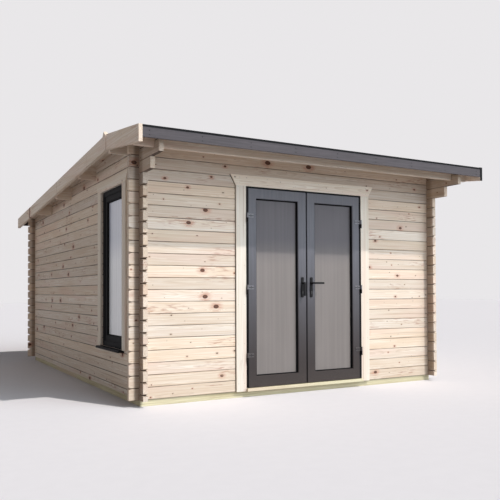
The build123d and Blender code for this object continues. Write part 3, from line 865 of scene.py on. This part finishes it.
def lock_cylinder(name, x, z, face, out, body):
    """Euro profile end of a lock cylinder with its keyway."""
    barrel, tail, tail_z = 0.0085, 0.0050, -0.0200
    outline = []
    for i in range(15):
        angle = math.radians(-60 + 300 * i / 14)
        outline.append((barrel * math.cos(angle), barrel * math.sin(angle)))
    for i in range(7):
        angle = math.radians(180 + 180 * i / 6)
        outline.append((tail * math.cos(angle), tail_z + tail * math.sin(angle)))
    points, faces = [], []
    count = len(outline)
    for share, lift in ((1.0, 0.0), (1.0, 0.0024), (0.90, 0.0030)):
        points += [Vector((x + share * u, face + out * lift, z + share * v)) for u, v in outline]
    for ring in range(2):
        bridged(faces, ring * count, (ring + 1) * count, count)
    faces.append([2 * count + i for i in range(count)])
    corners = ((-0.0010, -0.004), (0.0010, -0.004), (0.0010, 0.004), (-0.0010, 0.004))
    keyway = [Vector((x + u, face + out * 0.0034, z + v)) for u, v in corners]
    swept(points, faces, keyway, [point - Vector((0, out * 0.0010, 0)) for point in keyway])
    piece(name, points, faces, "hinge_grey", body)


def lock_cylinders():
    for side in ("left", "right"):
        low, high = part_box(f"{side}_handle_plates")
        middle = (low.x + high.x) / 2
        lock_cylinder(f"{side}_outer_cylinder", middle, LOCK_Z, low.y, -1, f"{side}_door")
        lock_cylinder(f"{side}_inner_cylinder", middle, LOCK_Z, high.y, 1, f"{side}_door")


# Floor, light and camera

def directly_seen(tree):
    """1 for what is seen, also in a reflection or through glass, and 0 for light that is thrown back."""
    path = tree.nodes.new("ShaderNodeLightPath")
    seen = path.outputs["Is Camera Ray"]
    for kind in ("Is Glossy Ray", "Is Transmission Ray"):
        either = tree.nodes.new("ShaderNodeMath")
        either.operation = "MAXIMUM"
        tree.links.new(seen, either.inputs[0])
        tree.links.new(path.outputs[kind], either.inputs[1])
        seen = either.outputs[0]
    return seen


def make_stage():
    """Pale to the eye and in reflections, a mid grey for the light that it throws back."""
    s = Shader("studio_floor")
    pale = s.mix(s.step(s.noise(s.place, 9.0, 3.0), 0.3, 0.7), FLOOR_LOW, FLOOR_HIGH)
    seen = Value(s, directly_seen(s.tree))
    s.finish(s.mix(seen, FLOOR_BOUNCE, pale), 0.9, Specular_IOR_Level=0.0)
    reach = 60.0
    corners = [(-reach, -reach, 0), (reach, -reach, 0), (reach, reach, 0), (-reach, reach, 0)]
    mesh = bpy.data.meshes.new("studio_floor")
    mesh.from_pydata(corners, [], [[0, 1, 2, 3]])
    mesh.materials.append(s.material)
    floor = bpy.data.objects.new("studio_floor", mesh)
    floor.location.z = -0.0005
    bpy.context.scene.collection.objects.link(floor)


def make_world(ambient, shown):
    """Soft light from all round, with a plain background where it is seen directly."""
    world = bpy.data.worlds.new("studio")
    world.use_nodes = True
    bpy.context.scene.world = world
    tree = world.node_tree
    tree.nodes.clear()
    mixed = tree.nodes.new("ShaderNodeMixShader")
    tree.links.new(directly_seen(tree), mixed.inputs[0])
    for number, colour in enumerate((ambient, shown)):
        background = tree.nodes.new("ShaderNodeBackground")
        background.inputs["Color"].default_value = (*colour, 1)
        tree.links.new(background.outputs[0], mixed.inputs[1 + number])
    output = tree.nodes.new("ShaderNodeOutputWorld")
    tree.links.new(mixed.outputs[0], output.inputs[0])


def make_sun(name, energy, direction, spread, colour):
    data = bpy.data.lights.new(name, "SUN")
    data.energy = energy
    data.angle = math.radians(spread)
    data.color = colour
    lamp = bpy.data.objects.new(name, data)
    lamp.location = (0, 0, 5)
    lamp.rotation_mode = "QUATERNION"
    lamp.rotation_quaternion = Vector(direction).to_track_quat("-Z", "Y")
    bpy.context.scene.collection.objects.link(lamp)


def make_camera():
    """Camera at the photograph's viewing angle, from its measured place, heading, tilt and roll."""
    place = (-3.8084, -8.0386, 1.0443)
    yaw, pitch, roll = 0.5117, 0.0199, -0.0037
    picture, focal_length, horizon_row = 500, 646.7838, 278.9691
    sensor = 36.0
    forward = Vector((math.sin(yaw) * math.cos(pitch), math.cos(yaw) * math.cos(pitch), math.sin(pitch)))
    level = Vector((math.cos(yaw), -math.sin(yaw), 0))
    upright = level.cross(forward)
    right = level * math.cos(roll) + upright * math.sin(roll)
    up = upright * math.cos(roll) - level * math.sin(roll)
    turn = Matrix((right, up, -forward)).transposed().to_4x4()
    data = bpy.data.cameras.new("camera")
    data.sensor_width = sensor
    data.lens = sensor * focal_length / picture
    data.shift_y = (horizon_row - picture / 2) / picture
    data.clip_end = 300.0
    camera = bpy.data.objects.new("camera", data)
    camera.matrix_world = Matrix.Translation(place) @ turn
    bpy.context.scene.collection.objects.link(camera)
    bpy.context.scene.camera = camera


materials = make_materials()
dress_nodes()

roof_and_floor_boards()
felt_laps()
fascia_screws()
pane_linings()
verge_end_cap()
trim_strips()
hinge_details()
barge_screws()
trim_nails()
lock_cylinders()
gap_shade_strips()

make_stage()
make_world(SKY_LIGHT, SKY_SHOWN)
make_sun("key", 2.20, (-0.5, 1.0, -1.43), 1.0, (1.0, 0.955, 0.915))
make_sun("fill", 3.35, (-0.60, 1.0, -0.35), 72.0, (0.835, 0.930, 1.0))
make_sun("side_fill", 0.37, (1.0, 0.25, -0.06), 20.0, (1.0, 0.98, 1.0))
make_sun("rear_fill", 0.60, (-0.30, -1.0, -0.06), 20.0, (1.0, 0.97, 0.94))
make_camera()

bpy.context.scene.view_settings.view_transform = "Standard"
